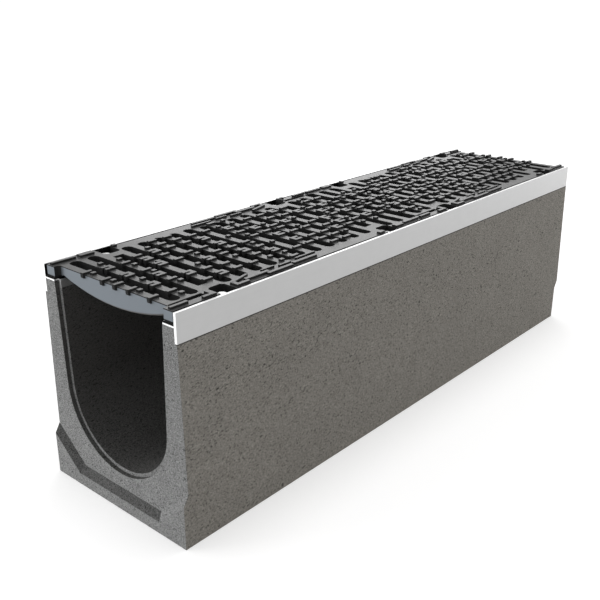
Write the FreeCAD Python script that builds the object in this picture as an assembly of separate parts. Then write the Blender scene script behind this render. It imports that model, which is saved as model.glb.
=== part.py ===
import FreeCAD, Part
import math
import os

# Trench drain channel, one metre long: a concrete U channel with steel edge rails,
# two cast iron gratings laid end to end, and the clips that hold the gratings down.
# Millimetres. X is the width, Y the length, Z up. The origin is on the floor, midway
# along the whole length and width.

V = FreeCAD.Vector

# Channel unit; the width over the rails drives every other width
UNIT_LENGTH = 1000.0
RAIL_HALF_WIDTH = 130.0
BODY_HEIGHT = 291.0
TONGUE = 8.0
FOOT_SPREAD = 4.2
FOOT_HEIGHT = 77.0
FLOW_SETBACK = 5.5
FLOW_CENTRE_Z = 150.0
FLOW_DRAFT_DEG = 1.95
SEAL_REBATE_WIDTH = 5.0
SEAL_REBATE_DEPTH = 6.0

# Tongue outline on the end face
TONGUE_SIDE_Z = 75.0
TONGUE_SLANT_RUN = 54.2
TONGUE_FLAT_Z = 27.5
TONGUE_BEVEL = 10.0
TONGUE_FIT = 0.5

# Steel edge rails
RAIL_PLATE = 4.0
RAIL_SKIRT = 19.0
RAIL_UPSTAND = 16.0
SHELF_THICKNESS = 3.0
LIP_THICKNESS = 3.0
LIP_DROP = 10.0
SHELF_WIDTH = 24.5
SHELF_END_STEP = 5.0

# Anchors cast into the walls
ANCHOR_PITCH = 250.0
ANCHOR_PER_RAIL = 4
ANCHOR_THICKNESS = 4.0
ANCHOR_WIDTH = 30.0
ANCHOR_LENGTH = 60.0
ANCHOR_FOOT = 10.0
ANCHOR_SETBACK = 12.0

# Bearing strip between shelf and grating
STRIP_THICKNESS = 3.0
STRIP_WIDTH = 16.0
STRIP_END_GAP = 2.0
STRIP_HOLE = 12.0

# Gratings
GRATE_COUNT = 2
GRATE_END_GAP = 4.0
GRATE_SIDE_PLAY = 3.0
FLANGE_WIDTH = 16.0
CURB_WIDTH = 4.0
SLOT_SHIFT = 3.0
BAR_COUNT = 18
BAR_WIDTH = 11.0
BAR_FOOT_WIDTH = 8.0
END_BAR_SETBACK = 8.0
BELLY_DEPTH = 29.5
BELLY_PIECES = 4
BELLY_END_PIECES = 12
BELLY_EDGE = 2.5
TIE_COUNT = 2
TIE_PITCH = 70.0
TIE_WIDTH = 7.0
TIE_TOP_DROP = 11.0
CORNER_FILLET = 4.0
SLOT_ROUNDING = 7.0

# Anti-slip relief on the bars
RELIEF_HEIGHT = 3.0
RELIEF_ROOT = 1.0
RIB_WIDTH = 5.0
RIB_NOSE = 3.5
RIB_NOSE_DROP = 6.0
RIB_TIP_DROP = 1.5
LOOP_WIDTH = 13.5
LOOP_BACK = 5.5
STUD_WIDTH = 5.5
STUD_LENGTH = 6.5

# Relief on the side ledges
LEDGE_GROOVE_INSET = 19.0
LEDGE_GROOVE_WIDTH = 8.0
LEDGE_GROOVE_DEPTH = 4.0
LEDGE_GROOVE_STOP = 14.0

# Lock points
LOCK_FROM_NEAR = 88.5
LOCK_FROM_FAR = 77.0
LOCK_NOTCH_LENGTH = 26.0
LOCK_NOTCH_DEPTH = 25.0
LOCK_NOTCH_CHAMFER = 4.0
LOCK_PLATE_WIDTH = 39.5
LUG_INSET = 12.5
LUG_SETBACK = 2.0
LUG_DROP = 5.0
LUG_HEAD = 11.0
LUG_HEAD_CORNER = 3.2
LUG_HEAD_HEIGHT = 3.5
LUG_SHANK = 7.0
SPRING_WIDTH = 12.0
SPRING_THICKNESS = 1.5
SPRING_SEAT = 4.0

# How far a cutting form runs past what it cuts, and how near counts as the same place
CUT_MARGIN = 1.0
SAME_PLACE = 0.01

# Levels and places worked out from the sizes above
SHELF_BOTTOM = BODY_HEIGHT
SHELF_TOP = SHELF_BOTTOM + SHELF_THICKNESS
RAIL_TOP = SHELF_TOP + RAIL_UPSTAND
RAIL_BOTTOM = SHELF_BOTTOM - RAIL_SKIRT
RAIL_INNER = RAIL_HALF_WIDTH - RAIL_PLATE
LIP_HALF_WIDTH = RAIL_INNER - SHELF_WIDTH
SHELF_END_HALF_WIDTH = LIP_HALF_WIDTH + SHELF_END_STEP
FLOW_RADIUS = LIP_HALF_WIDTH - FLOW_SETBACK
FOOT_HALF_WIDTH = RAIL_HALF_WIDTH + FOOT_SPREAD
TONGUE_CORNER_X = FOOT_HALF_WIDTH - TONGUE_SLANT_RUN
FLANGE_BOTTOM = SHELF_TOP + STRIP_THICKNESS
FLANGE_OUTER = RAIL_INNER - GRATE_SIDE_PLAY
FLANGE_INNER = FLANGE_OUTER - FLANGE_WIDTH
CURB_INNER = FLANGE_INNER - CURB_WIDTH
LUG_X = RAIL_INNER - LUG_INSET
LUG_TOP = RAIL_TOP - LUG_DROP
LUG_NECK = LUG_TOP - LUG_HEAD_HEIGHT
Y_NEAR = -(UNIT_LENGTH + TONGUE) / 2.0 + TONGUE
Y_FAR = Y_NEAR + UNIT_LENGTH
GRATE_MODULE = UNIT_LENGTH / GRATE_COUNT
GRATE_LENGTH = GRATE_MODULE - GRATE_END_GAP
BAR_PITCH = (GRATE_LENGTH - 2.0 * END_BAR_SETBACK - BAR_WIDTH) / (BAR_COUNT - 1)

# Relief of the first half of the bars: R a rib, L a loop, S a stud, each with its place
# as a share of the half width between the curbs. The other half is this one turned round.
RELIEF_ROWS = [
    [("R", -0.52), ("S", -0.43), ("R", -0.14), ("S", -0.04),
     ("R", 0.1), ("R", 0.35), ("S", 0.45), ("R", 0.73)],
    [("S", -0.66), ("L", -0.45), ("L", -0.07), ("S", 0.17), ("L", 0.41), ("R", 0.73), ("S", 0.86)],
    [("S", -0.63), ("R", -0.45), ("S", -0.32), ("R", -0.05),
     ("S", 0.05), ("L", 0.19), ("R", 0.43), ("S", 0.54)],
    [("R", -0.56), ("L", -0.37), ("S", -0.19), ("L", -0.09), ("L", 0.43), ("R", 0.75)],
    [("S", -0.73), ("L", -0.54), ("R", -0.34), ("R", -0.07), ("S", 0.25), ("R", 0.46), ("L", 0.72)],
    [("R", -0.92), ("R", -0.72), ("R", -0.53), ("R", -0.19),
     ("S", -0.06), ("L", 0.21), ("R", 0.5), ("R", 0.72)],
    [("R", -0.92), ("R", -0.72), ("R", -0.52), ("R", -0.19),
     ("R", 0.06), ("R", 0.2), ("S", 0.37), ("R", 0.73)],
    [("R", -0.71), ("L", -0.47), ("L", -0.15), ("R", 0.08),
     ("L", 0.31), ("R", 0.53), ("S", 0.73), ("S", 0.93)],
    [("R", -0.72), ("S", -0.31), ("R", 0.06), ("S", 0.16),
     ("R", 0.33), ("L", 0.58), ("S", 0.74), ("R", 0.94)],
]

# Raised bars on the right-hand ledge: inset of the middle from the flange's outer edge,
# width, then start and end measured from the near end, and below from the far end
LEDGE_RIBS_NEAR = [
    (7.3, 4.6, 1.5, 28.0),
    (3.0, 4.6, 48.0, 67.0),
    (8.0, 15.0, 61.0, 68.0),
    (7.5, 9.0, 102.0, 108.0),
    (3.0, 4.6, 102.0, 124.0),
    (9.5, 5.0, 123.0, 165.0),
    (3.5, 5.0, 158.0, 203.0),
    (17.5, 3.0, 160.0, 183.0),
    (13.0, 3.0, 188.0, 210.0),
    (6.5, 5.0, 208.0, 253.0),
    (16.5, 3.0, 224.0, 262.0),
]
LEDGE_RIBS_FAR = [
    (4.0, 6.0, 106.0, 94.0),
    (7.0, 9.0, 66.0, 44.0),
    (7.5, 5.0, 38.0, 1.5),
]

SIDES = [("left", -1.0), ("right", 1.0)]


def box(x0, x1, y0, y1, z0, z1):
    return Part.makeBox(x1 - x0, y1 - y0, z1 - z0, V(x0, y0, z0))


def prism_y(points, y0, y1):
    """A closed outline of (x, z) points, pulled along Y from y0 to y1."""
    wire = Part.makePolygon([V(x, y0, z) for x, z in points + points[:1]])
    return Part.Face(wire).extrude(V(0, y1 - y0, 0))


def prism_x(points, x0, x1):
    """A closed outline of (y, z) points, pulled along X from x0 to x1."""
    wire = Part.makePolygon([V(x0, y, z) for y, z in points + points[:1]])
    return Part.Face(wire).extrude(V(x1 - x0, 0, 0))


def prism_z(points, z0, z1):
    """A closed outline of (x, y) points, pulled up from z0 to z1."""
    wire = Part.makePolygon([V(x, y, z0) for x, y in points + points[:1]])
    return Part.Face(wire).extrude(V(0, 0, z1 - z0))


def mirror_side(shape, side):
    """The same piece on the other side of the channel, where side is negative."""
    if side > 0:
        return shape
    return shape.mirror(V(0, 0, 0), V(1, 0, 0))


def lock_places():
    """The Y of every lock point along the channel."""
    places = []
    for grate in range(GRATE_COUNT):
        start = Y_NEAR + grate * GRATE_MODULE
        places.append(start + LOCK_FROM_NEAR)
        places.append(start + GRATE_MODULE - LOCK_FROM_FAR)
    return places


def anchor_places():
    """The Y of every anchor along the channel, the row centred on the unit."""
    first = (Y_NEAR + Y_FAR) / 2.0 - ANCHOR_PITCH * (ANCHOR_PER_RAIL - 1) / 2.0
    return [first + n * ANCHOR_PITCH for n in range(ANCHOR_PER_RAIL)]


# Channel body

def flow_solid(radius, y0, y1):
    """The waterway: a half round bottom with walls that open upwards by the draft."""
    draft = math.radians(FLOW_DRAFT_DEG)
    top_z = BODY_HEIGHT + CUT_MARGIN
    rise = top_z - FLOW_CENTRE_Z
    top_x = (radius + rise * math.sin(draft)) / math.cos(draft)
    tangent_x = radius * math.cos(draft)
    tangent_z = FLOW_CENTRE_Z - radius * math.sin(draft)
    left_top = V(-top_x, y0, top_z)
    right_top = V(top_x, y0, top_z)
    left_low = V(-tangent_x, y0, tangent_z)
    right_low = V(tangent_x, y0, tangent_z)
    bottom = V(0, y0, FLOW_CENTRE_Z - radius)
    edges = [
        Part.LineSegment(left_top, left_low).toShape(),
        Part.Arc(left_low, bottom, right_low).toShape(),
        Part.LineSegment(right_low, right_top).toShape(),
        Part.LineSegment(right_top, left_top).toShape(),
    ]
    return Part.Face(Part.Wire(edges)).extrude(V(0, y1 - y0, 0))


def body_outline():
    """The outside of the body seen from its end, set in behind the rail plates."""
    half = [
        (FOOT_HALF_WIDTH, 0.0),
        (FOOT_HALF_WIDTH, FOOT_HEIGHT),
        (RAIL_HALF_WIDTH, RAIL_BOTTOM),
        (RAIL_INNER, RAIL_BOTTOM),
        (RAIL_INNER, BODY_HEIGHT),
    ]
    return half + [(-x, z) for x, z in reversed(half)]


def tongue_outline(offset, grow):
    """The joint line on an end face, moved outwards by offset, then closed far below."""
    run = FOOT_HALF_WIDTH - TONGUE_CORNER_X
    rise = TONGUE_SIDE_Z - TONGUE_FLAT_Z
    slope = rise / run
    slant = math.hypot(run, rise)
    flat_z = TONGUE_FLAT_Z - offset
    side_x = FOOT_HALF_WIDTH + grow
    # The slanted line keeps its angle; it meets the flat where both are offset.
    shift = offset * slant / run
    corner_x = TONGUE_CORNER_X + (shift - offset) / slope
    side_z = flat_z + (side_x - corner_x) * slope
    low = -grow
    return [
        (side_x, side_z),
        (corner_x, flat_z),
        (-corner_x, flat_z),
        (-side_x, side_z),
        (-side_x, low),
        (side_x, low),
    ]


def frustum(base, tip):
    """A solid between two outlines whose matching edges are parallel, all faces flat."""
    faces = [Part.Face(Part.makePolygon(base + base[:1])), Part.Face(Part.makePolygon(tip + tip[:1]))]
    for index in range(len(base)):
        after = (index + 1) % len(base)
        corners = [base[index], base[after], tip[after], tip[index], base[index]]
        faces.append(Part.Face(Part.makePolygon(corners)))
    return Part.Solid(Part.Shell(faces))


def tongue_solid(y_face, y_tip, clearance, grow):
    """The bevelled foot that stands out of an end face, or the room that it needs."""
    base = [V(x, y_face, z) for x, z in tongue_outline(-clearance, grow)]
    tip = [V(x, y_tip, z) for x, z in tongue_outline(TONGUE_BEVEL - clearance, grow)]
    return frustum(base, tip)


def anchor_solid(y):
    """A bent flat bar under the shelf of the right-hand rail."""
    inner = RAIL_INNER - ANCHOR_SETBACK
    outer = inner + ANCHOR_THICKNESS
    low = SHELF_BOTTOM - ANCHOR_LENGTH
    points = [
        (inner, SHELF_BOTTOM),
        (inner, low),
        (inner + ANCHOR_FOOT, low),
        (inner + ANCHOR_FOOT, low + ANCHOR_THICKNESS),
        (outer, low + ANCHOR_THICKNESS),
        (outer, SHELF_BOTTOM),
    ]
    return prism_y(points, y - ANCHOR_WIDTH / 2.0, y + ANCHOR_WIDTH / 2.0)


def channel_body():
    """The concrete channel with its tongue, its far socket and both seal rebates."""
    rebate_radius = FLOW_RADIUS + SEAL_REBATE_WIDTH
    body = prism_y(body_outline(), Y_NEAR, Y_FAR)
    body = body.fuse(tongue_solid(Y_NEAR, Y_NEAR - TONGUE, 0.0, 0.0))
    cuts = [
        tongue_solid(Y_FAR, Y_FAR - TONGUE, TONGUE_FIT, CUT_MARGIN),
        flow_solid(FLOW_RADIUS, Y_NEAR - TONGUE - CUT_MARGIN, Y_FAR + CUT_MARGIN),
        flow_solid(rebate_radius, Y_NEAR - CUT_MARGIN, Y_NEAR + SEAL_REBATE_DEPTH),
        flow_solid(rebate_radius, Y_FAR - SEAL_REBATE_DEPTH, Y_FAR + CUT_MARGIN),
    ]
    for name, side in SIDES:
        cuts.append(mirror_side(lip_room(), side))
        for y in anchor_places():
            cuts.append(mirror_side(anchor_solid(y), side))
    for cut in cuts:
        body = body.cut(cut)
    return body.removeSplitter()


def lip_room():
    """The step in the wall's inner top edge that the rail's lip fills."""
    low = SHELF_BOTTOM - LIP_DROP
    y0 = Y_NEAR + SEAL_REBATE_DEPTH
    y1 = Y_FAR - SEAL_REBATE_DEPTH
    return box(FLOW_RADIUS, LIP_HALF_WIDTH + LIP_THICKNESS, y0, y1, low, BODY_HEIGHT + CUT_MARGIN)


# Steel edge rails

def edge_rail():
    """The right-hand rail, bent from one strip: plate, shelf and a lip over the wall's edge."""
    lip_low = SHELF_BOTTOM - LIP_DROP
    lip_outer = LIP_HALF_WIDTH + LIP_THICKNESS
    middle = math.sqrt(0.5) * SHELF_THICKNESS
    bend_start = V(lip_outer, Y_NEAR, SHELF_TOP)
    bend_middle = V(lip_outer - middle, Y_NEAR, SHELF_BOTTOM + middle)
    bend_end = V(LIP_HALF_WIDTH, Y_NEAR, SHELF_BOTTOM)
    corners = [
        (LIP_HALF_WIDTH, SHELF_BOTTOM),
        (LIP_HALF_WIDTH, lip_low),
        (lip_outer, lip_low),
        (lip_outer, SHELF_BOTTOM),
        (RAIL_INNER, SHELF_BOTTOM),
        (RAIL_INNER, RAIL_BOTTOM),
        (RAIL_HALF_WIDTH, RAIL_BOTTOM),
        (RAIL_HALF_WIDTH, RAIL_TOP),
        (RAIL_INNER, RAIL_TOP),
        (RAIL_INNER, SHELF_TOP),
        (lip_outer, SHELF_TOP),
    ]
    straight = Part.makePolygon([V(x, Y_NEAR, z) for x, z in corners])
    bend = Part.Arc(bend_start, bend_middle, bend_end).toShape()
    section = Part.Face(Part.Wire(straight.Edges + [bend]))
    rail = section.extrude(V(0, UNIT_LENGTH, 0))
    x0 = LIP_HALF_WIDTH - CUT_MARGIN
    z0 = lip_low - CUT_MARGIN
    z1 = SHELF_TOP + CUT_MARGIN
    for y in (Y_NEAR, Y_FAR - SEAL_REBATE_DEPTH):
        rail = rail.cut(box(x0, SHELF_END_HALF_WIDTH, y, y + SEAL_REBATE_DEPTH, z0, z1))
    return rail


def lock_lug(y):
    """The headed stud welded on the right-hand shelf, under which a grating's spring snaps."""
    middle = y - LUG_SETBACK
    half = LUG_HEAD / 2.0
    flat = half - LUG_HEAD_CORNER
    octagon = [(half, -flat), (half, flat), (flat, half), (-flat, half)]
    octagon += [(-x, -y) for x, y in octagon]
    head = prism_z([(LUG_X + x, middle + y) for x, y in octagon], LUG_NECK, LUG_TOP)
    half = LUG_SHANK / 2.0
    shank = box(LUG_X - half, LUG_X + half, middle - half, middle + half, SHELF_TOP, LUG_NECK)
    return head.fuse(shank)


def bearing_strip():
    """The rubber strip on the right-hand shelf that the grating's flange rests on."""
    x0 = FLANGE_OUTER - STRIP_WIDTH
    y0 = Y_NEAR + STRIP_END_GAP
    y1 = Y_FAR - STRIP_END_GAP
    strip = box(x0, FLANGE_OUTER, y0, y1, SHELF_TOP, FLANGE_BOTTOM)
    half = STRIP_HOLE / 2.0
    z0 = SHELF_TOP - CUT_MARGIN
    z1 = FLANGE_BOTTOM + CUT_MARGIN
    for y in lock_places():
        middle = y - LUG_SETBACK
        strip = strip.cut(box(LUG_X - half, LUG_X + half, middle - half, middle + half, z0, z1))
    return strip


# Gratings, modelled with their near end at y = 0

def belly_height(x):
    """The underside's height at x: an arc from curb to curb, deepest in the middle."""
    rise = FLANGE_BOTTOM - RAIL_TOP + BELLY_DEPTH
    radius = (CURB_INNER ** 2 + rise ** 2) / (2.0 * rise)
    return RAIL_TOP - BELLY_DEPTH + radius - math.sqrt(radius ** 2 - x ** 2)


def belly_solid(pieces, y0, y1):
    """The casting's depth from y0 to y1, its arc in this many straight pieces."""
    points = [(FLANGE_INNER, FLANGE_BOTTOM), (FLANGE_INNER, RAIL_TOP)]
    points += [(-FLANGE_INNER, RAIL_TOP), (-FLANGE_INNER, FLANGE_BOTTOM)]
    for n in range(pieces + 1):
        x = CURB_INNER * (2.0 * n / pieces - 1.0)
        points.append((x, belly_height(x)))
    return prism_y(points, y0, y1)


def bar_start(index):
    return END_BAR_SETBACK + index * BAR_PITCH


def bar_section(index):
    """A bar's (y, z) section: drafted to a narrower foot, end bars upright outside."""
    y0 = bar_start(index)
    y1 = y0 + BAR_WIDTH
    draft = (BAR_WIDTH - BAR_FOOT_WIDTH) / 2.0
    low = RAIL_TOP - BELLY_DEPTH - CUT_MARGIN
    near = 0.0 if index == 0 else draft
    far = 0.0 if index == BAR_COUNT - 1 else draft
    return [(y0, RAIL_TOP), (y1, RAIL_TOP), (y1 - far, low), (y0 + near, low)]


def bars():
    """All transverse bars, cut to the belly's outline; the end bars follow it more finely."""
    belly = belly_solid(BELLY_PIECES, 0.0, GRATE_LENGTH)
    result = [bar_block(n).common(belly) for n in range(1, BAR_COUNT - 1)]
    y0 = bar_start(0)
    near = bar_block(0).common(belly_solid(BELLY_END_PIECES, y0, y0 + BAR_WIDTH))
    low = [e for e in near.Edges if lies_along_belly(e, y0)]
    near = near.makeChamfer(BELLY_EDGE, low)
    return result + [near, turned(near)]


def bar_block(index):
    return prism_x(bar_section(index), -FLANGE_INNER, FLANGE_INNER)


def lies_along_belly(edge, y):
    """True for an edge in the plane of this y that belongs to the belly's outline."""
    span = edge.BoundBox
    in_plane = max(abs(span.YMin - y), abs(span.YMax - y)) < SAME_PLACE
    return in_plane and span.XLength > SAME_PLACE and span.ZMax < FLANGE_BOTTOM + SAME_PLACE


def ties():
    """The sunk longitudinal webs that tie the bars together."""
    belly = belly_solid(BELLY_PIECES, 0.0, GRATE_LENGTH)
    top = RAIL_TOP - TIE_TOP_DROP
    y0 = END_BAR_SETBACK + BAR_WIDTH / 2.0
    y1 = GRATE_LENGTH - y0
    first = -TIE_PITCH * (TIE_COUNT - 1) / 2.0
    half = TIE_WIDTH / 2.0
    result = []
    for n in range(TIE_COUNT):
        x = first + n * TIE_PITCH
        web = box(x - half, x + half, y0, y1, RAIL_TOP - BELLY_DEPTH, top)
        result.append(web.common(belly))
    return result


def slot_end(index):
    """Where the slot beyond this bar ends on the right: further in on the near half."""
    if index < BAR_COUNT // 2:
        return CURB_INNER - SLOT_SHIFT
    return CURB_INNER + SLOT_SHIFT


def slot_corners():
    """Webs that round the corners where the slots meet the right-hand curb."""
    reach = SLOT_ROUNDING
    near = reach * (1.0 - math.sqrt(0.5))
    depth = RAIL_TOP - FLANGE_BOTTOM
    lean = (BAR_WIDTH - BAR_FOOT_WIDTH) / 2.0 * depth / (BELLY_DEPTH + CUT_MARGIN)
    result = []
    for index in range(BAR_COUNT - 1):
        x = slot_end(index)
        for y, way in ((bar_start(index) + BAR_WIDTH, 1.0), (bar_start(index + 1), -1.0)):
            points = [
                (x + RELIEF_ROOT, y - way * RELIEF_ROOT),
                (x - reach, y - way * RELIEF_ROOT),
                (x - reach, y),
                (x - near, y + way * near),
                (x, y + way * reach),
                (x + RELIEF_ROOT, y + way * reach),
            ]
            wire = Part.makePolygon([V(px, py, RAIL_TOP) for px, py in points + points[:1]])
            result.append(Part.Face(wire).extrude(V(0, -way * lean, -depth)))
    return result


def flange():
    """The right-hand bearing flange with the curb that frames the slots."""
    y0 = END_BAR_SETBACK
    y1 = GRATE_LENGTH - END_BAR_SETBACK
    in_last_bar = y1 - BAR_WIDTH / 2.0
    in_middle_bar = bar_start(BAR_COUNT // 2) + BAR_WIDTH / 2.0
    near_x = slot_end(0)
    far_x = slot_end(BAR_COUNT)
    outline = [
        (near_x, y0),
        (FLANGE_INNER, y0),
        (FLANGE_INNER, 0.0),
        (FLANGE_OUTER, 0.0),
        (FLANGE_OUTER, GRATE_LENGTH),
        (FLANGE_INNER, GRATE_LENGTH),
        (FLANGE_INNER, y1),
        (near_x, y1),
        (near_x, in_last_bar),
        (far_x, in_last_bar),
        (far_x, in_middle_bar),
        (near_x, in_middle_bar),
    ]
    solid = prism_z(outline, FLANGE_BOTTOM, RAIL_TOP)
    ends = [e for e in solid.Edges if corner_edge(e, FLANGE_INNER, (y0, y1))]
    return solid.makeFillet(CORNER_FILLET, ends)


def corner_edge(edge, x, ys):
    """True for an upright edge at this x and one of these y."""
    span = edge.BoundBox
    upright = span.XLength < SAME_PLACE and span.YLength < SAME_PLACE
    off = max(abs(span.XMin - x), min(abs(span.YMin - y) for y in ys))
    return upright and off < SAME_PLACE


def lock_locals():
    """The Y of both lock points on one casting."""
    start = GRATE_END_GAP / 2.0
    return [LOCK_FROM_NEAR - start, GRATE_MODULE - LOCK_FROM_FAR - start]


def lock_plate(y):
    """The solid plate between two bars, inside a lock notch."""
    index = int((y - END_BAR_SETBACK - BAR_WIDTH / 2.0) / BAR_PITCH)
    y0 = bar_start(index) + BAR_WIDTH / 2.0
    y1 = y0 + BAR_PITCH
    return box(FLANGE_OUTER - LOCK_PLATE_WIDTH, FLANGE_INNER, y0, y1, FLANGE_BOTTOM, RAIL_TOP)


def lock_notch(y):
    """The room cut through the flange at a lock point, its inner corners chamfered."""
    half = LOCK_NOTCH_LENGTH / 2.0
    inner = FLANGE_OUTER - LOCK_NOTCH_DEPTH
    outer = FLANGE_OUTER + CUT_MARGIN
    points = [
        (outer, y - half),
        (inner + LOCK_NOTCH_CHAMFER, y - half),
        (inner, y - half + LOCK_NOTCH_CHAMFER),
        (inner, y + half - LOCK_NOTCH_CHAMFER),
        (inner + LOCK_NOTCH_CHAMFER, y + half),
        (outer, y + half),
    ]
    return prism_z(points, RAIL_TOP - BELLY_DEPTH, RAIL_TOP + RELIEF_HEIGHT + CUT_MARGIN)


def ledge_groove():
    """The sunk groove beside the right-hand curb, from the near end to the lock notch."""
    x0 = FLANGE_OUTER - LEDGE_GROOVE_INSET
    y1 = lock_locals()[0] - LOCK_NOTCH_LENGTH / 2.0 - LEDGE_GROOVE_STOP
    z0 = RAIL_TOP - LEDGE_GROOVE_DEPTH
    z1 = RAIL_TOP + CUT_MARGIN
    return box(x0, x0 + LEDGE_GROOVE_WIDTH, END_BAR_SETBACK, y1, z0, z1)


def ledge_relief():
    """The raised bars on the right-hand ledge."""
    spans = list(LEDGE_RIBS_NEAR)
    for inset, width, start, end in LEDGE_RIBS_FAR:
        spans.append((inset, width, GRATE_LENGTH - start, GRATE_LENGTH - end))
    z0 = RAIL_TOP - RELIEF_ROOT
    z1 = RAIL_TOP + RELIEF_HEIGHT
    result = []
    for inset, width, y0, y1 in spans:
        x0 = FLANGE_OUTER - inset - width / 2.0
        result.append(box(x0, x0 + width, y0, y1, z0, z1))
    return result


def rib(x, y, width=RIB_WIDTH):
    """A rib across the bar that starts at y, its nose hanging over the bar's near face."""
    points = [
        (y + RELIEF_ROOT, RAIL_TOP - RIB_NOSE_DROP),
        (y - RIB_NOSE, RAIL_TOP - RIB_TIP_DROP),
        (y - RIB_NOSE, RAIL_TOP + RELIEF_HEIGHT),
        (y + BAR_WIDTH, RAIL_TOP + RELIEF_HEIGHT),
        (y + BAR_WIDTH, RAIL_TOP),
        (y + BAR_WIDTH - RELIEF_ROOT, RAIL_TOP - RELIEF_ROOT),
        (y + RELIEF_ROOT, RAIL_TOP - RELIEF_ROOT),
    ]
    return prism_x(points, x - width / 2.0, x + width / 2.0)


def loop(x, y):
    """A wide rib opened from the near side, so that two legs join at the bar's far edge."""
    half = LOOP_WIDTH / 2.0 - RIB_WIDTH
    y1 = y + BAR_WIDTH - LOOP_BACK
    mouth = box(x - half, x + half, y - RIB_NOSE, y1, RAIL_TOP, RAIL_TOP + RELIEF_HEIGHT)
    under = box(x - half, x + half, y - RIB_NOSE, y, RAIL_TOP - RIB_NOSE_DROP, RAIL_TOP)
    return rib(x, y, LOOP_WIDTH).cut(mouth).cut(under)


def stud(x, y):
    """A short stud at the far edge of the bar that starts at y."""
    half = STUD_WIDTH / 2.0
    y1 = y + BAR_WIDTH
    points = [
        (y1 - RELIEF_ROOT, RAIL_TOP - RELIEF_ROOT),
        (y1, RAIL_TOP),
        (y1, RAIL_TOP + RELIEF_HEIGHT),
        (y1 - STUD_LENGTH, RAIL_TOP + RELIEF_HEIGHT),
        (y1 - STUD_LENGTH, RAIL_TOP - RELIEF_ROOT),
    ]
    return prism_x(points, x - half, x + half)


RELIEF_MAKERS = {"R": rib, "L": loop, "S": stud}


def bar_relief():
    """The raised anti-slip pieces on the first half of the bars, row after row."""
    result = []
    for index, row in enumerate(RELIEF_ROWS):
        for kind, share in row:
            result.append(RELIEF_MAKERS[kind](share * CURB_INNER, bar_start(index)))
    return result


def turned(shape):
    """The same form half a turn round the middle of the casting."""
    copy = shape.copy()
    copy.rotate(V(0, GRATE_LENGTH / 2.0, 0), V(0, 0, 1), 180.0)
    return copy


def grate_solid():
    """One cast grating, the same after half a turn but for the lock notches."""
    relief = bar_relief() + ledge_relief()
    pieces = bars() + ties() + relief
    edge = [flange()] + slot_corners()
    pieces += edge + [turned(piece) for piece in relief + edge]
    cuts = [ledge_groove(), turned(ledge_groove())]
    for name, side in SIDES:
        for y in lock_locals():
            pieces.append(mirror_side(lock_plate(y), side))
            cuts.append(mirror_side(lock_notch(y), side))
    grate = pieces[0].multiFuse(pieces[1:])
    grate = grate.cut(Part.makeCompound(cuts))
    return grate.removeSplitter()


# Springs of the gratings' locks

def bent_strip(centre, thickness, y0, y1):
    """A strip of even thickness along an open (x, z) line, with mitred bends."""
    upper = []
    lower = []
    for index, (x, z) in enumerate(centre):
        before = centre[max(index - 1, 0)]
        after = centre[min(index + 1, len(centre) - 1)]
        ins = V(x - before[0], 0, z - before[1]) if index > 0 else V(after[0] - x, 0, after[1] - z)
        outs = V(after[0] - x, 0, after[1] - z) if index < len(centre) - 1 else ins
        ins = V(ins).normalize()
        outs = V(outs).normalize()
        along = (ins + outs).normalize()
        reach = thickness / 2.0 / along.dot(ins)
        normal = V(-along.z, 0, along.x)
        upper.append((x + normal.x * reach, z + normal.z * reach))
        lower.append((x - normal.x * reach, z - normal.z * reach))
    return prism_y(upper + lower[::-1], y0, y1)


def lock_spring(y):
    """The spring in the right-hand notch at y: off the notch's wall and under the lug's head."""
    half_thick = SPRING_THICKNESS / 2.0
    wall = FLANGE_OUTER - LOCK_NOTCH_DEPTH + half_thick
    level = LUG_NECK - half_thick
    centre = [(wall, level - SPRING_SEAT), (wall, level), (LUG_X - LUG_SHANK / 2.0, level)]
    y0 = y - LUG_SETBACK - SPRING_WIDTH / 2.0
    return bent_strip(centre, SPRING_THICKNESS, y0, y0 + SPRING_WIDTH)


def write(name, shape):
    shape.exportStep("parts/" + name + ".step")


def main():
    os.makedirs("parts", exist_ok=True)
    write("channel_body", channel_body())
    grate = grate_solid()
    for number in range(GRATE_COUNT):
        placed = grate.copy()
        placed.translate(V(0, Y_NEAR + number * GRATE_MODULE + GRATE_END_GAP / 2.0, 0))
        write("grate_%d" % (number + 1), placed)
    for name, side in SIDES:
        write("edge_rail_" + name, mirror_side(edge_rail(), side))
        write("bearing_strip_" + name, mirror_side(bearing_strip(), side))
        for number, y in enumerate(anchor_places(), 1):
            write("rail_anchor_%s_%d" % (name, number), mirror_side(anchor_solid(y), side))
        for number, y in enumerate(lock_places(), 1):
            write("lock_lug_%s_%d" % (name, number), mirror_side(lock_lug(y), side))
            write("lock_spring_%s_%d" % (name, number), mirror_side(lock_spring(y), side))


main()
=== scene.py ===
"""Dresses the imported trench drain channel: materials, rib tips, floor, light and camera."""
import math

import bmesh
import bpy
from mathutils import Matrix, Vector


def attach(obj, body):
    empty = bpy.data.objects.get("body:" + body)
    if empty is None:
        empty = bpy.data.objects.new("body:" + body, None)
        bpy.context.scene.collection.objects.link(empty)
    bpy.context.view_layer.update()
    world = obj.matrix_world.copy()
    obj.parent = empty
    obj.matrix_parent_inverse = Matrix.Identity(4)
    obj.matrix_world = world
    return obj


# Where the camera stands and looks, and its lens, worked out from the object's known length
CAMERA_PLACE = (0.7893, -1.0415, 0.6562)
CAMERA_TILT = math.radians(68.65)
CAMERA_TURN = math.radians(41.18)
CAMERA_LENS = 49.82
SENSOR_WIDTH = 36.0

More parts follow.
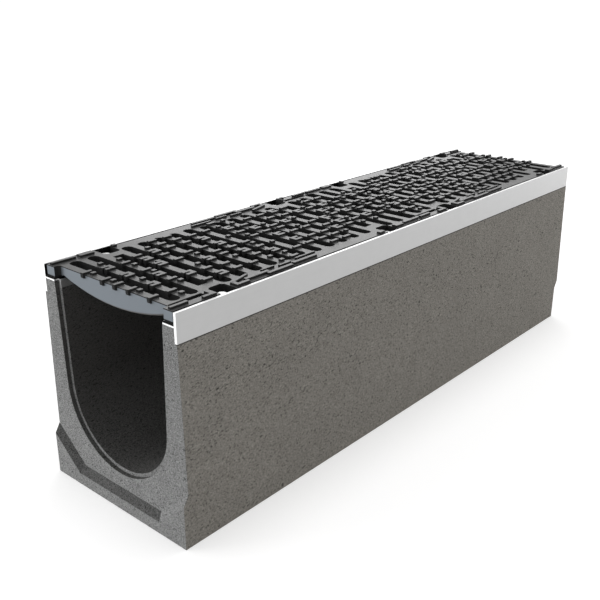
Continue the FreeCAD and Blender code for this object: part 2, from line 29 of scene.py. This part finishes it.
# Lamps: name, place, the point each looks at, size and power
LAMPS = (
    ("key", (-2.0, -2.3, 0.6), (0.0, -0.3, 0.15), 1.6, 32.0),
    ("rim", (0.9, 3.4, 0.5), (0.1, 0.5, 0.2), 1.4, 32.0),
    ("back", (-1.6, 1.7, 1.0), (0.0, 0.1, 0.31), 1.6, 11.0),
)
SKY_COLOR = (1.0, 1.0, 1.0, 1.0)
SKY_STRENGTH = 0.56

# The floor glows where it is seen directly, and less within the contact's reach where the
# object closes off the sky: the share is met where only this much of the sky is open
FLOOR_HALF = 60.0
FLOOR_COLOR = (0.8, 0.8, 0.8, 1.0)
FLOOR_GLOW = 0.61
CONTACT_REACH = 0.1
CONTACT_SHARE = 0.74
CONTACT_OPEN_SKY = 0.5
CONTACT_SAMPLES = 12

# The mix node's colour sockets, which share their names with its number sockets
MIX_COLOR_A = 6
MIX_COLOR_B = 7
MIX_COLOR_RESULT = 2

# The span that a noise's values mostly lie in. Each noise below is given by its scale,
# detail and roughness.
NOISE_SPAN = (0.3, 0.7)
EDGE_SAMPLES = 4

# Concrete: colours, and the heights and widths where they change
# Painted light and shade: one concrete, with the sides a darker, warmer copy and the ends
# lighter, more so towards their bottom
SIDE_SHADED_TONE = (0.283, 0.267, 0.239, 1.0)
END_LOW_LIT_TONE = (0.323, 0.325, 0.323, 1.0)
END_HIGH_LIT_TONE = (0.287, 0.289, 0.287, 1.0)
END_TONE_HEIGHTS = (0.06, 0.2)
# Painted shade: the channel's inside is painted dark, darker higher up under the grating
WATERWAY_LOW_SHADE_TONE = (0.088, 0.087, 0.084, 1.0)
WATERWAY_HIGH_SHADE_TONE = (0.061, 0.059, 0.056, 1.0)
WATERWAY_TONE_HEIGHTS = (0.07, 0.16)
WATERWAY_HALF_WIDTH = 0.115
WATERWAY_LOW = 0.03
# Painted shade: the near end's bevel bands are painted dark, darkest where they face +x
BEVEL_LOW_SHADE_TONE = (0.122, 0.122, 0.12, 1.0)
BEVEL_LEFT_SHADE_TONE = (0.102, 0.102, 0.1, 1.0)

# Concrete: the parts of a face's direction over which a colour comes in
SIDE_FACING = (0.5, 0.9)
WATERWAY_FACING = (0.4, 0.3)
BEVEL_FACING = (-0.6, -0.7)
END_FACING = (-0.9, -0.85)
NOT_RIGHT_FACING = (-0.35, -0.1)
LEFT_BEVEL_FACING = (0.1, 0.35)

# Concrete: a painted shadow darkens a thin line just below the rail plates
PLATE_SHADOW_HEIGHTS = (0.2703, 0.2721)
PLATE_SHADOW_FADE = 0.0006
PLATE_SHADOW_REACH = 0.1265
PLATE_SHADOW_SHADE = 0.75

# Concrete: grain, streaks, clouds and pits
GRAIN_STRETCH = (1.0, 2.4, 1.0)
GRAIN_SLANT = (math.radians(15.0), 0.0, 0.0)
GRAIN_NOISE = (900.0, 3.0, 0.7)
GRAIN_SPAN = (0.25, 0.75)
GRAIN_SHARE = 0.55
GRAIN_ON_ENDS = 2.1
GRAIN_ON_SIDES = 1.12
STREAK_NOISE = (400.0, 3.0, 0.6)
STREAK_TONES = (0.88, 1.12)
CLOUD_NOISE = (14.0, 4.0, 0.6)
CLOUD_TONES = (0.95, 1.05)
PIT_FADE = 0.06
BIG_PIT_NOISE = (330.0, 0.0, 0.5)
BIG_PIT_SHARE = 0.24
BIG_PIT_SHADE = 0.7
SMALL_PIT_NOISE = (620.0, 0.0, 0.5)
SMALL_PIT_SHARE = 0.33
SMALL_PIT_SHADE = 0.6
ROUGH_NOISE = (520.0, 4.0, 0.6)
PIT_DEPTH = 0.3
CONCRETE_RELIEF = 0.0015
CONCRETE_RELIEF_STRENGTH = 1.0
CONCRETE_EDGE = 0.0015
CONCRETE_ROUGHNESS = (0.82, 0.95)
CONCRETE_SPECULAR = 0.3

# Zinc: above these heights the rails' inner faces and their shelves are painted near-black as
# shade
POCKET_LOW = 0.2945
SHELF_SHADE_LOW = 0.2931
POCKET_HALF_WIDTH = 0.1259
INWARD_FACING = (-0.6, -0.9)
FLANK_FACING = (0.6, 0.9)
POCKET_SHADE_GREY = 0.015
# Painted light and shade: faces across the width get a darker copy of the zinc's grey
ZINC_LIT_GREY = 0.88
FLANK_SHADE_GREY = 0.48
SPANGLE_NOISE = (55.0, 3.0, 0.6)
SPANGLE_TONES = (0.97, 1.02)
ROLLED_NOISE = (900.0, 2.0, 0.5)
ROLLED_STRETCH = (1.0, 50.0, 1.0)
ROLLED_TONES = (-0.01, 0.01)
ZINC_ROUGHNESS = (0.42, 0.48)
ZINC_EDGE = 0.0008
STEEL_METALLIC = 0.9

# Iron: the gratings' outer ends lie further than this from the middle of the pair
PAIR_MIDDLE_Y = 0.004
END_FACE_REACH = 0.4895
END_FACE_PLANES = (0.4901, 0.4979)
END_FACE_TOP = 0.3088
END_FACE_FACING = (0.8, 0.95)
LOW_EDGE_PLANE = 0.4868
LOW_EDGE_FACING = (-0.4, -0.6)
TREAD_FACING = (0.6, 0.95)
# Painted light and shade: upward faces get a lighter grey than the walls
TREAD_LIT_GREYS = (0.082, 0.108)
WALL_SHADED_GREYS = (0.016, 0.021)
# Painted light: the downward bevel at the outer ends' low edge is painted light grey
LOW_EDGE_LIT_GREY = 0.2
# Painted reflection: the outer end faces get this bluish grey, with painted shade towards
# their -x end
WEB_REFLECTION_TONE = (0.258, 0.288, 0.32, 1.0)
WEB_SHADE_WIDTHS = (-0.103, -0.096)
WEB_SHADE_SHARE = 0.45
WALL_ROUGHNESS = 0.75
TREAD_ROUGHNESS = 0.36
PEEL_ROUGHNESS = 0.05
WALL_SPECULAR = 0.2
TREAD_SPECULAR = 0.5
PEEL_NOISE = (700.0, 4.0, 0.65)
PEEL_RELIEF = 0.0002
PEEL_STRENGTH = 0.5
IRON_CLOUD_NOISE = (60.0, 3.0, 0.6)
IRON_EDGE = 0.0009
IRON_IOR = 1.45

# Rubber
RUBBER_NOISE = (900.0, 3.0, 0.6)
RUBBER_GREYS = (0.006, 0.011)
RUBBER_ROUGHNESS = (0.7, 0.85)
RUBBER_RELIEF = 0.0002
RUBBER_STRENGTH = 0.4
RUBBER_SPECULAR = 0.2

# Plain steel: each kind's material name, grey and roughness, by the nodes' prefix
STEELS = {
    "lock_lug": ("steel_lug", 0.85, 0.35),
    "lock_spring": ("steel_spring", 0.08, 0.4),
    "rail_anchor": ("steel_anchor", 0.6, 0.45),
}
MARKS_NOISE = (700.0, 3.0, 0.6)
MARKS_STRETCH = (1.0, 5.0, 1.0)
MARKS_SHARE = 0.92
MARKS_ROUGHNESS = (0.9, 1.1)
STEEL_EDGE = 0.0004

# A rib's upright front spans these heights; below it a rounded finger runs down the bar
FRONT_SPAN = (0.3085, 0.313)
FRONT_FACING = 0.99
SAME_HEIGHT = 1e-4
FRONT_X_DIGITS = 4
FRONT_Y_DIGITS = 5
FINGER_SPAN = (0.3053, 0.31)
FINGER_DEPTH = 0.0038
FINGER_ROUND = 0.002
FINGER_INSET = 0.0001
ROUND_STEPS = 5

# The slanted rib beside the first lock notch: its ends from the casting's near end, on the
# right, and its outline's inset at each height
SLANTED_RIB = ((0.1105, 0.104), (0.1025, 0.136))
SLANTED_RIB_HALF_WIDTH = 0.0023
SLANTED_RIB_LEVELS = ((0.3095, 0.0), (0.3124, 0.0), (0.313, 0.0006))
CASTING_STARTS = {"grate_1": -0.494, "grate_2": 0.006}
CASTING_LENGTH = 0.496


def grey(value):
    return (value, value, value, 1.0)


class Nodes:
    """Short calls for building one material's node tree."""

    def __init__(self, name):
        self.material = bpy.data.materials.new(name)
        self.material.use_nodes = True
        self.tree = self.material.node_tree
        self.shader = self.tree.nodes["Principled BSDF"]
        self.coords = self.add("ShaderNodeTexCoord").outputs["Object"]
        self.normal = self.add("ShaderNodeTexCoord").outputs["Normal"]

    def add(self, kind, **values):
        node = self.tree.nodes.new(kind)
        for key, value in values.items():
            setattr(node, key, value)
        return node

    def link(self, source, target):
        self.tree.links.new(source, target)

    def set(self, socket, value):
        """Links an output to the socket, or sets a plain value on it."""
        if isinstance(value, bpy.types.NodeSocket):
            self.link(value, socket)
        else:
            socket.default_value = value

    def principled(self, **values):
        for key, value in values.items():
            self.set(self.shader.inputs[key.replace("_", " ")], value)

    def math(self, operation, a, b=0.0):
        node = self.add("ShaderNodeMath", operation=operation)
        self.set(node.inputs[0], a)
        self.set(node.inputs[1], b)
        return node.outputs[0]

    def product(self, first, *others):
        for other in others:
            first = self.math("MULTIPLY", first, other)
        return first

    def darker(self, amount, share):
        """1 where the amount is 0, and 1 less this share where it is 1."""
        return self.math("SUBTRACT", 1.0, self.math("MULTIPLY", amount, share))

    def ramp(self, value, low, high, out_low=0.0, out_high=1.0):
        """Maps low..high of a value to out_low..out_high, clamped."""
        node = self.add("ShaderNodeMapRange")
        self.set(node.inputs["Value"], value)
        self.set(node.inputs["From Min"], low)
        self.set(node.inputs["From Max"], high)
        self.set(node.inputs["To Min"], out_low)
        self.set(node.inputs["To Max"], out_high)
        return node.outputs["Result"]

    def spread(self, noise, low=0.0, high=1.0):
        """Spreads the span that a noise mostly lies in over low..high."""
        return self.ramp(noise, *NOISE_SPAN, low, high)

    def stretched(self, stretch, turn=(0, 0, 0)):
        """Object coordinates in which a pattern is drawn out along its turned axes."""
        node = self.add("ShaderNodeMapping", vector_type="TEXTURE")
        self.link(self.coords, node.inputs["Vector"])
        node.inputs["Scale"].default_value = stretch
        node.inputs["Rotation"].default_value = turn
        return node.outputs["Vector"]

    def noise(self, scale, detail, roughness, coords=None):
        node = self.add("ShaderNodeTexNoise")
        self.link(coords or self.coords, node.inputs["Vector"])
        node.inputs["Scale"].default_value = scale
        node.inputs["Detail"].default_value = detail
        node.inputs["Roughness"].default_value = roughness
        return node.outputs["Fac"]

    def mix(self, factor, a, b, blend="MIX"):
        node = self.add("ShaderNodeMix", data_type="RGBA", blend_type=blend)
        self.set(node.inputs["Factor"], factor)
        self.set(node.inputs[MIX_COLOR_A], a)
        self.set(node.inputs[MIX_COLOR_B], b)
        return node.outputs[MIX_COLOR_RESULT]

    def axis(self, vector, name):
        node = self.add("ShaderNodeSeparateXYZ")
        self.link(vector, node.inputs["Vector"])
        return node.outputs[name]

    def bump(self, height, distance, strength, normal=None):
        node = self.add("ShaderNodeBump")
        self.link(height, node.inputs["Height"])
        node.inputs["Distance"].default_value = distance
        node.inputs["Strength"].default_value = strength
        if normal:
            self.link(normal, node.inputs["Normal"])
        return node.outputs["Normal"]

    def soft_edges(self, radius):
        node = self.add("ShaderNodeBevel", samples=EDGE_SAMPLES)
        node.inputs["Radius"].default_value = radius
        return node.outputs["Normal"]


def pits(n, noise, share, coords):
    """Scattered pits: 1 in the lowest parts of a noise, 0 where it is above this share."""
    return n.ramp(n.noise(*noise, coords), share, share - PIT_FADE)


def concrete_tone(n, side, nx, ny, width, z):
    """The plain colour, with painted light and shade: ends lighter than the darker, warmer
    sides, and the waterway and near bevels painted dark as shade.
    """
    # Painted light and shade: the ends get the lighter tone, lighter still low down, and the
    # sides a darker, warmer one
    ends = n.mix(n.ramp(z, *END_TONE_HEIGHTS), END_LOW_LIT_TONE, END_HIGH_LIT_TONE)
    tone = n.mix(side, ends, SIDE_SHADED_TONE)
    # Painted shade: the channel's inside is painted dark, darker higher up under the grating
    within = n.math("LESS_THAN", width, WATERWAY_HALF_WIDTH)
    crosswise = n.ramp(n.math("ABSOLUTE", ny), *WATERWAY_FACING)
    shaded_waterway = n.product(within, crosswise, n.math("GREATER_THAN", z, WATERWAY_LOW))
    heights = n.ramp(z, *WATERWAY_TONE_HEIGHTS)
    tone = n.mix(shaded_waterway, tone, n.mix(heights, WATERWAY_LOW_SHADE_TONE, WATERWAY_HIGH_SHADE_TONE))
    # Painted shade: the near end's bevel bands are painted dark, darkest where they face +x;
    # bevels facing -x stay plain
    shaded_bevel = n.product(n.ramp(ny, *BEVEL_FACING), n.ramp(ny, *END_FACING),
                      n.ramp(nx, *NOT_RIGHT_FACING))
    left = n.ramp(nx, *LEFT_BEVEL_FACING)
    return n.mix(shaded_bevel, tone, n.mix(left, BEVEL_LOW_SHADE_TONE, BEVEL_LEFT_SHADE_TONE))


def concrete():
    """Cast concrete: slanted sandy grain, faint cloudiness, small open pores."""
    n = Nodes("concrete_cast")
    width = n.math("ABSOLUTE", n.axis(n.coords, "X"))
    z = n.axis(n.coords, "Z")
    nx = n.axis(n.normal, "X")
    ny = n.axis(n.normal, "Y")
    side = n.ramp(n.math("ABSOLUTE", nx), *SIDE_FACING)
    # Painted shadow: a thin dark line on the sides just below the rail plates
    shadow_low, shadow_high = PLATE_SHADOW_HEIGHTS
    plate_shadow = n.product(n.ramp(z, shadow_low, shadow_low + PLATE_SHADOW_FADE),
                     n.math("LESS_THAN", z, shadow_high),
                     n.math("GREATER_THAN", width, PLATE_SHADOW_REACH))
    slanted = n.stretched(GRAIN_STRETCH, GRAIN_SLANT)
    grain = n.noise(*GRAIN_NOISE, slanted)
    streak = n.noise(*STREAK_NOISE, slanted)
    cloud = n.noise(*CLOUD_NOISE)
    big = pits(n, BIG_PIT_NOISE, BIG_PIT_SHARE, slanted)
    small = pits(n, SMALL_PIT_NOISE, SMALL_PIT_SHARE, slanted)
    contrast = n.ramp(side, 0.0, 1.0, GRAIN_ON_ENDS, GRAIN_ON_SIDES)
    sand = n.math("MULTIPLY", n.ramp(grain, *GRAIN_SPAN, -GRAIN_SHARE, GRAIN_SHARE), contrast)
    shade = n.product(n.math("ADD", sand, 1.0),
                      n.spread(cloud, *CLOUD_TONES),
                      n.spread(streak, *STREAK_TONES),
                      n.darker(big, BIG_PIT_SHADE),
                      n.darker(small, SMALL_PIT_SHADE),
                      n.darker(plate_shadow, PLATE_SHADOW_SHADE))
    tone = concrete_tone(n, side, nx, ny, width, z)
    n.principled(Base_Color=n.mix(1.0, tone, shade, "MULTIPLY"))
    n.principled(Roughness=n.spread(grain, *CONCRETE_ROUGHNESS))
    n.principled(Specular_IOR_Level=CONCRETE_SPECULAR)
    sunk = n.math("MULTIPLY", n.math("MAXIMUM", big, small), PIT_DEPTH)
    relief = n.math("SUBTRACT", n.noise(*ROUGH_NOISE), sunk)
    edges = n.soft_edges(CONCRETE_EDGE)
    n.principled(Normal=n.bump(relief, CONCRETE_RELIEF, CONCRETE_RELIEF_STRENGTH, edges))
    return n.material


def galvanised():
    """Smooth zinc on steel: dull mirror with faint cloudy spangle; painted shade darkens the
    faces across the width and paints the inside near-black.
    """
    n = Nodes("steel_galvanised")
    x = n.axis(n.coords, "X")
    z = n.axis(n.coords, "Z")
    nx = n.axis(n.normal, "X")
    spangle = n.noise(*SPANGLE_NOISE)
    rolled = n.noise(*ROLLED_NOISE, n.stretched(ROLLED_STRETCH))
    tone = n.math("ADD", n.spread(spangle, *SPANGLE_TONES), n.spread(rolled, *ROLLED_TONES))
    # Painted light and shade: faces across the width get a darker copy of the zinc's grey
    shaded_flank = n.ramp(n.math("ABSOLUTE", nx), *FLANK_FACING)
    base = n.mix(shaded_flank, grey(ZINC_LIT_GREY), grey(FLANK_SHADE_GREY))
    # Painted shade: the rails' inner faces and their shelves under the grating are painted
    # near-black
    inward = n.ramp(n.math("MULTIPLY", nx, n.math("SIGN", x)), *INWARD_FACING)
    shaded_pocket = n.math("MULTIPLY", inward, n.math("GREATER_THAN", z, POCKET_LOW))
    within = n.math("LESS_THAN", n.math("ABSOLUTE", x), POCKET_HALF_WIDTH)
    shaded_shelf = n.math("MULTIPLY", within, n.math("GREATER_THAN", z, SHELF_SHADE_LOW))
    base = n.mix(n.math("MAXIMUM", shaded_pocket, shaded_shelf), base, grey(POCKET_SHADE_GREY))
    n.principled(Base_Color=n.mix(1.0, base, tone, "MULTIPLY"))
    n.principled(Metallic=STEEL_METALLIC)
    n.principled(Roughness=n.spread(spangle, *ZINC_ROUGHNESS))
    n.principled(Normal=n.soft_edges(ZINC_EDGE))
    return n.material


def iron():
    """Black dip-coated cast iron with a fine orange peel; painted light and shade: tops
    lighter than walls, a light low edge, and bluish-grey end faces as painted reflection.
    """
    n = Nodes("iron_black_dipped")
    x = n.axis(n.coords, "X")
    z = n.axis(n.coords, "Z")
    nz = n.axis(n.normal, "Z")
    # Painted reflection: the gratings' outer end faces get a bluish grey in place of the
    # black coat
    past_middle = n.math("SUBTRACT", n.axis(n.coords, "Y"), PAIR_MIDDLE_Y)
    from_middle = n.math("ABSOLUTE", past_middle)
    web_plane, flange_plane = END_FACE_PLANES
    flange_end = n.math("GREATER_THAN", from_middle, flange_plane)
    web = n.math("MULTIPLY", n.math("GREATER_THAN", from_middle, END_FACE_REACH),
                 n.math("LESS_THAN", from_middle, web_plane))
    facing = n.ramp(n.math("ABSOLUTE", n.axis(n.normal, "Y")), *END_FACE_FACING)
    end_face = n.product(n.math("MAXIMUM", web, flange_end), facing,
                         n.math("LESS_THAN", z, END_FACE_TOP))
    peel = n.noise(*PEEL_NOISE)
    cloud = n.spread(n.noise(*IRON_CLOUD_NOISE))
    # Painted light and shade: upward faces get a lighter grey than the walls
    top = n.ramp(nz, *TREAD_FACING)
    lit_tread = n.mix(cloud, *map(grey, TREAD_LIT_GREYS))
    shaded_wall = n.mix(cloud, *map(grey, WALL_SHADED_GREYS))
    # Painted light: the downward bevel at the outer ends' low edge is painted light grey
    lit_low_edge = n.math("MULTIPLY", n.math("GREATER_THAN", from_middle, LOW_EDGE_PLANE),
                      n.ramp(nz, *LOW_EDGE_FACING))
    coat = n.mix(lit_low_edge, n.mix(top, shaded_wall, lit_tread), grey(LOW_EDGE_LIT_GREY))
    # Painted shade: the end web darkens towards its -x end
    shadow = n.ramp(x, *WEB_SHADE_WIDTHS, WEB_SHADE_SHARE, 1.0)
    web_reflection_tone = n.mix(1.0, WEB_REFLECTION_TONE, n.math("MAXIMUM", shadow, flange_end), "MULTIPLY")
    n.principled(Base_Color=n.mix(end_face, coat, web_reflection_tone))
    gloss = n.ramp(top, 0.0, 1.0, WALL_ROUGHNESS, TREAD_ROUGHNESS)
    peel_gloss = n.spread(peel, -PEEL_ROUGHNESS, PEEL_ROUGHNESS)
    n.principled(Roughness=n.math("ADD", gloss, peel_gloss))
    n.principled(Specular_IOR_Level=n.ramp(top, 0.0, 1.0, WALL_SPECULAR, TREAD_SPECULAR))
    n.principled(IOR=IRON_IOR)
    n.principled(Normal=n.bump(peel, PEEL_RELIEF, PEEL_STRENGTH, n.soft_edges(IRON_EDGE)))
    return n.material


def rubber():
    """Matte black rubber with a fine grain."""
    n = Nodes("rubber_strip")
    grain = n.noise(*RUBBER_NOISE)
    n.principled(Base_Color=n.mix(n.spread(grain), *map(grey, RUBBER_GREYS)))
    n.principled(Roughness=n.spread(grain, *RUBBER_ROUGHNESS))
    n.principled(Specular_IOR_Level=RUBBER_SPECULAR)
    n.principled(Normal=n.bump(grain, RUBBER_RELIEF, RUBBER_STRENGTH))
    return n.material


def rolled_steel(name, tone, roughness):
    """Plain rolled steel with fine marks along its length."""
    n = Nodes(name)
    marks = n.noise(*MARKS_NOISE, n.stretched(MARKS_STRETCH))
    n.principled(Base_Color=n.mix(n.spread(marks), grey(tone * MARKS_SHARE), grey(tone)))
    n.principled(Metallic=STEEL_METALLIC)
    low, high = MARKS_ROUGHNESS
    n.principled(Roughness=n.spread(marks, roughness * low, roughness * high))
    n.principled(Normal=n.soft_edges(STEEL_EDGE))
    return n.material


def dress(nodes, prefix, material):
    for name, obj in nodes.items():
        if name.startswith(prefix):
            obj.data.materials.clear()
            obj.data.materials.append(material)


def rib_fronts(node):
    """A casting's upright rib ends: x from and to, y, and the way they face along y."""
    found = set()
    mesh = node.data
    for face in mesh.polygons:
        if abs(face.normal.y) < FRONT_FACING:
            continue
        points = [mesh.vertices[index].co for index in face.vertices]
        span = (min(p.z for p in points), max(p.z for p in points))
        if any(abs(z - wanted) > SAME_HEIGHT for z, wanted in zip(span, FRONT_SPAN)):
            continue
        x0, x1 = (round(side(p.x for p in points), FRONT_X_DIGITS) for side in (min, max))
        way = math.copysign(1.0, face.normal.y)
        found.add((x0, x1, round(points[0].y, FRONT_Y_DIGITS), way))
    return sorted(found)


def add_rings(bm, rings):
    """Joins rings of points into a closed solid."""
    rings = [[bm.verts.new(point) for point in ring] for ring in rings]
    for ring, above in zip(rings, rings[1:]):
        for index in range(len(ring)):
            after = (index + 1) % len(ring)
            bm.faces.new((ring[index], ring[after], above[after], above[index]))
    bm.faces.new(rings[0])
    bm.faces.new(rings[-1])


def add_finger(bm, x0, x1, y, way):
    """The rounded finger under a rib's front that faces this way along y."""
    low, top = FINGER_SPAN
    front = y - way * FINGER_INSET
    back = y - way * FINGER_DEPTH
    outline = [(back, top), (front, top)]
    for step in range(ROUND_STEPS + 1):
        angle = math.radians(90.0) * step / ROUND_STEPS
        inward = way * FINGER_ROUND * (1.0 - math.cos(angle))
        outline.append((front - inward, low + FINGER_ROUND * (1.0 - math.sin(angle))))
    outline.append((back, low))
    ends = (x0 + FINGER_INSET, x1 - FINGER_INSET)
    add_rings(bm, [[(x, py, pz) for py, pz in outline] for x in ends])


def add_slanted_rib(bm, start, turned):
    """The slanted rib with round ends; turned is its copy on the casting's other half."""
    first, last = (Vector(point) for point in SLANTED_RIB)
    along = math.atan2(last.y - first.y, last.x - first.x)
    rings = []
    for z, inset in SLANTED_RIB_LEVELS:
        ring = []
        for middle, turn in ((last, -90.0), (first, 90.0)):
            for step in range(ROUND_STEPS + 1):
                angle = along + math.radians(turn + 180.0 * step / ROUND_STEPS)
                reach = SLANTED_RIB_HALF_WIDTH - inset
                x = middle.x + reach * math.cos(angle)
                y = middle.y + reach * math.sin(angle)
                if turned:
                    x, y = -x, CASTING_LENGTH - y
                ring.append((x, start + y, z))
        rings.append(ring)
    add_rings(bm, rings)


def add_rib_tips(node, start, material):
    """The fingers and slanted ribs of the casting that starts here, as one piece."""
    bm = bmesh.new()
    for front in rib_fronts(node):
        add_finger(bm, *front)
    for turned in (False, True):
        add_slanted_rib(bm, start, turned)
    bmesh.ops.recalc_face_normals(bm, faces=bm.faces)
    mesh = bpy.data.meshes.new(node.name + "_rib_tips")
    bm.to_mesh(mesh)
    bm.free()
    mesh.materials.append(material)
    piece = bpy.data.objects.new(mesh.name, mesh)
    bpy.context.scene.collection.objects.link(piece)
    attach(piece, "root")


def add_camera():
    data = bpy.data.cameras.new("camera")
    data.lens = CAMERA_LENS
    data.sensor_width = SENSOR_WIDTH
    camera = bpy.data.objects.new("camera", data)
    camera.location = CAMERA_PLACE
    camera.rotation_euler = (CAMERA_TILT, 0.0, CAMERA_TURN)
    bpy.context.scene.collection.objects.link(camera)
    bpy.context.scene.camera = camera


def add_lamp(name, place, target, size, power):
    data = bpy.data.lights.new(name, "AREA")
    data.size = size
    data.energy = power
    lamp = bpy.data.objects.new(name, data)
    lamp.location = place
    lamp.visible_camera = False
    direction = Vector(target) - Vector(place)
    lamp.rotation_euler = direction.to_track_quat("-Z", "Y").to_euler()
    bpy.context.scene.collection.objects.link(lamp)


def math_node(tree, operation, first, second):
    node = tree.nodes.new("ShaderNodeMath")
    node.operation = operation
    tree.links.new(first, node.inputs[0])
    tree.links.new(second, node.inputs[1])
    return node.outputs[0]


def seen_directly(tree):
    """1 for rays from the camera and for reflections and refractions, 0 for soft light."""
    path = tree.nodes.new("ShaderNodeLightPath").outputs
    sharp = math_node(tree, "MAXIMUM", path["Is Camera Ray"], path["Is Glossy Ray"])
    return math_node(tree, "MAXIMUM", sharp, path["Is Transmission Ray"])


def add_world():
    world = bpy.data.worlds.new("studio")
    world.use_nodes = True
    tree = world.node_tree
    background = tree.nodes["Background"]
    background.inputs["Color"].default_value = SKY_COLOR
    level = tree.nodes.new("ShaderNodeMapRange")
    level.inputs["To Min"].default_value = SKY_STRENGTH
    level.inputs["To Max"].default_value = 1.0
    tree.links.new(seen_directly(tree), level.inputs["Value"])
    tree.links.new(level.outputs["Result"], background.inputs["Strength"])
    bpy.context.scene.world = world


def floor_material():
    """White floor that glows where it is seen directly, dimmed close to the object."""
    material = bpy.data.materials.new("floor_white")
    material.use_nodes = True
    tree = material.node_tree
    tree.nodes.remove(tree.nodes["Principled BSDF"])
    diffuse = tree.nodes.new("ShaderNodeBsdfDiffuse")
    diffuse.inputs["Color"].default_value = FLOOR_COLOR
    open_sky = tree.nodes.new("ShaderNodeAmbientOcclusion")
    open_sky.samples = CONTACT_SAMPLES
    open_sky.inputs["Distance"].default_value = CONTACT_REACH
    level = tree.nodes.new("ShaderNodeMapRange")
    level.inputs["From Min"].default_value = CONTACT_OPEN_SKY
    level.inputs["To Min"].default_value = FLOOR_GLOW * CONTACT_SHARE
    level.inputs["To Max"].default_value = FLOOR_GLOW
    tree.links.new(open_sky.outputs["AO"], level.inputs["Value"])
    strength = math_node(tree, "MULTIPLY", seen_directly(tree), level.outputs["Result"])
    glow = tree.nodes.new("ShaderNodeEmission")
    tree.links.new(strength, glow.inputs["Strength"])
    both = tree.nodes.new("ShaderNodeAddShader")
    tree.links.new(diffuse.outputs[0], both.inputs[0])
    tree.links.new(glow.outputs[0], both.inputs[1])
    tree.links.new(both.outputs[0], tree.nodes["Material Output"].inputs["Surface"])
    return material


def add_floor():
    half = FLOOR_HALF
    mesh = bpy.data.meshes.new("floor")
    corners = [(-half, -half, 0), (half, -half, 0), (half, half, 0), (-half, half, 0)]
    mesh.from_pydata(corners, [], [(0, 1, 2, 3)])
    mesh.materials.append(floor_material())
    floor = bpy.data.objects.new("floor", mesh)
    bpy.context.scene.collection.objects.link(floor)


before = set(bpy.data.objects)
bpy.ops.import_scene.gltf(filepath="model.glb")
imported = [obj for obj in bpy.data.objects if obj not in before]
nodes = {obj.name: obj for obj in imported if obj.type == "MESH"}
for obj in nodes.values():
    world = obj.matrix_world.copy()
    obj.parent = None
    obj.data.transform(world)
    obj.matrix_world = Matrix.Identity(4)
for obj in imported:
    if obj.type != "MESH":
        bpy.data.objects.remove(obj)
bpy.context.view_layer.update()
add_camera()
add_world()
for lamp in LAMPS:
    add_lamp(*lamp)
add_floor()
dress(nodes, "channel_body", concrete())
dress(nodes, "edge_rail", galvanised())
iron_coat = iron()
dress(nodes, "grate", iron_coat)
for casting, start in CASTING_STARTS.items():
    add_rib_tips(nodes[casting], start, iron_coat)
dress(nodes, "bearing_strip", rubber())
for prefix, steel in STEELS.items():
    dress(nodes, prefix, rolled_steel(*steel))
bpy.context.scene.view_settings.view_transform = "Standard"
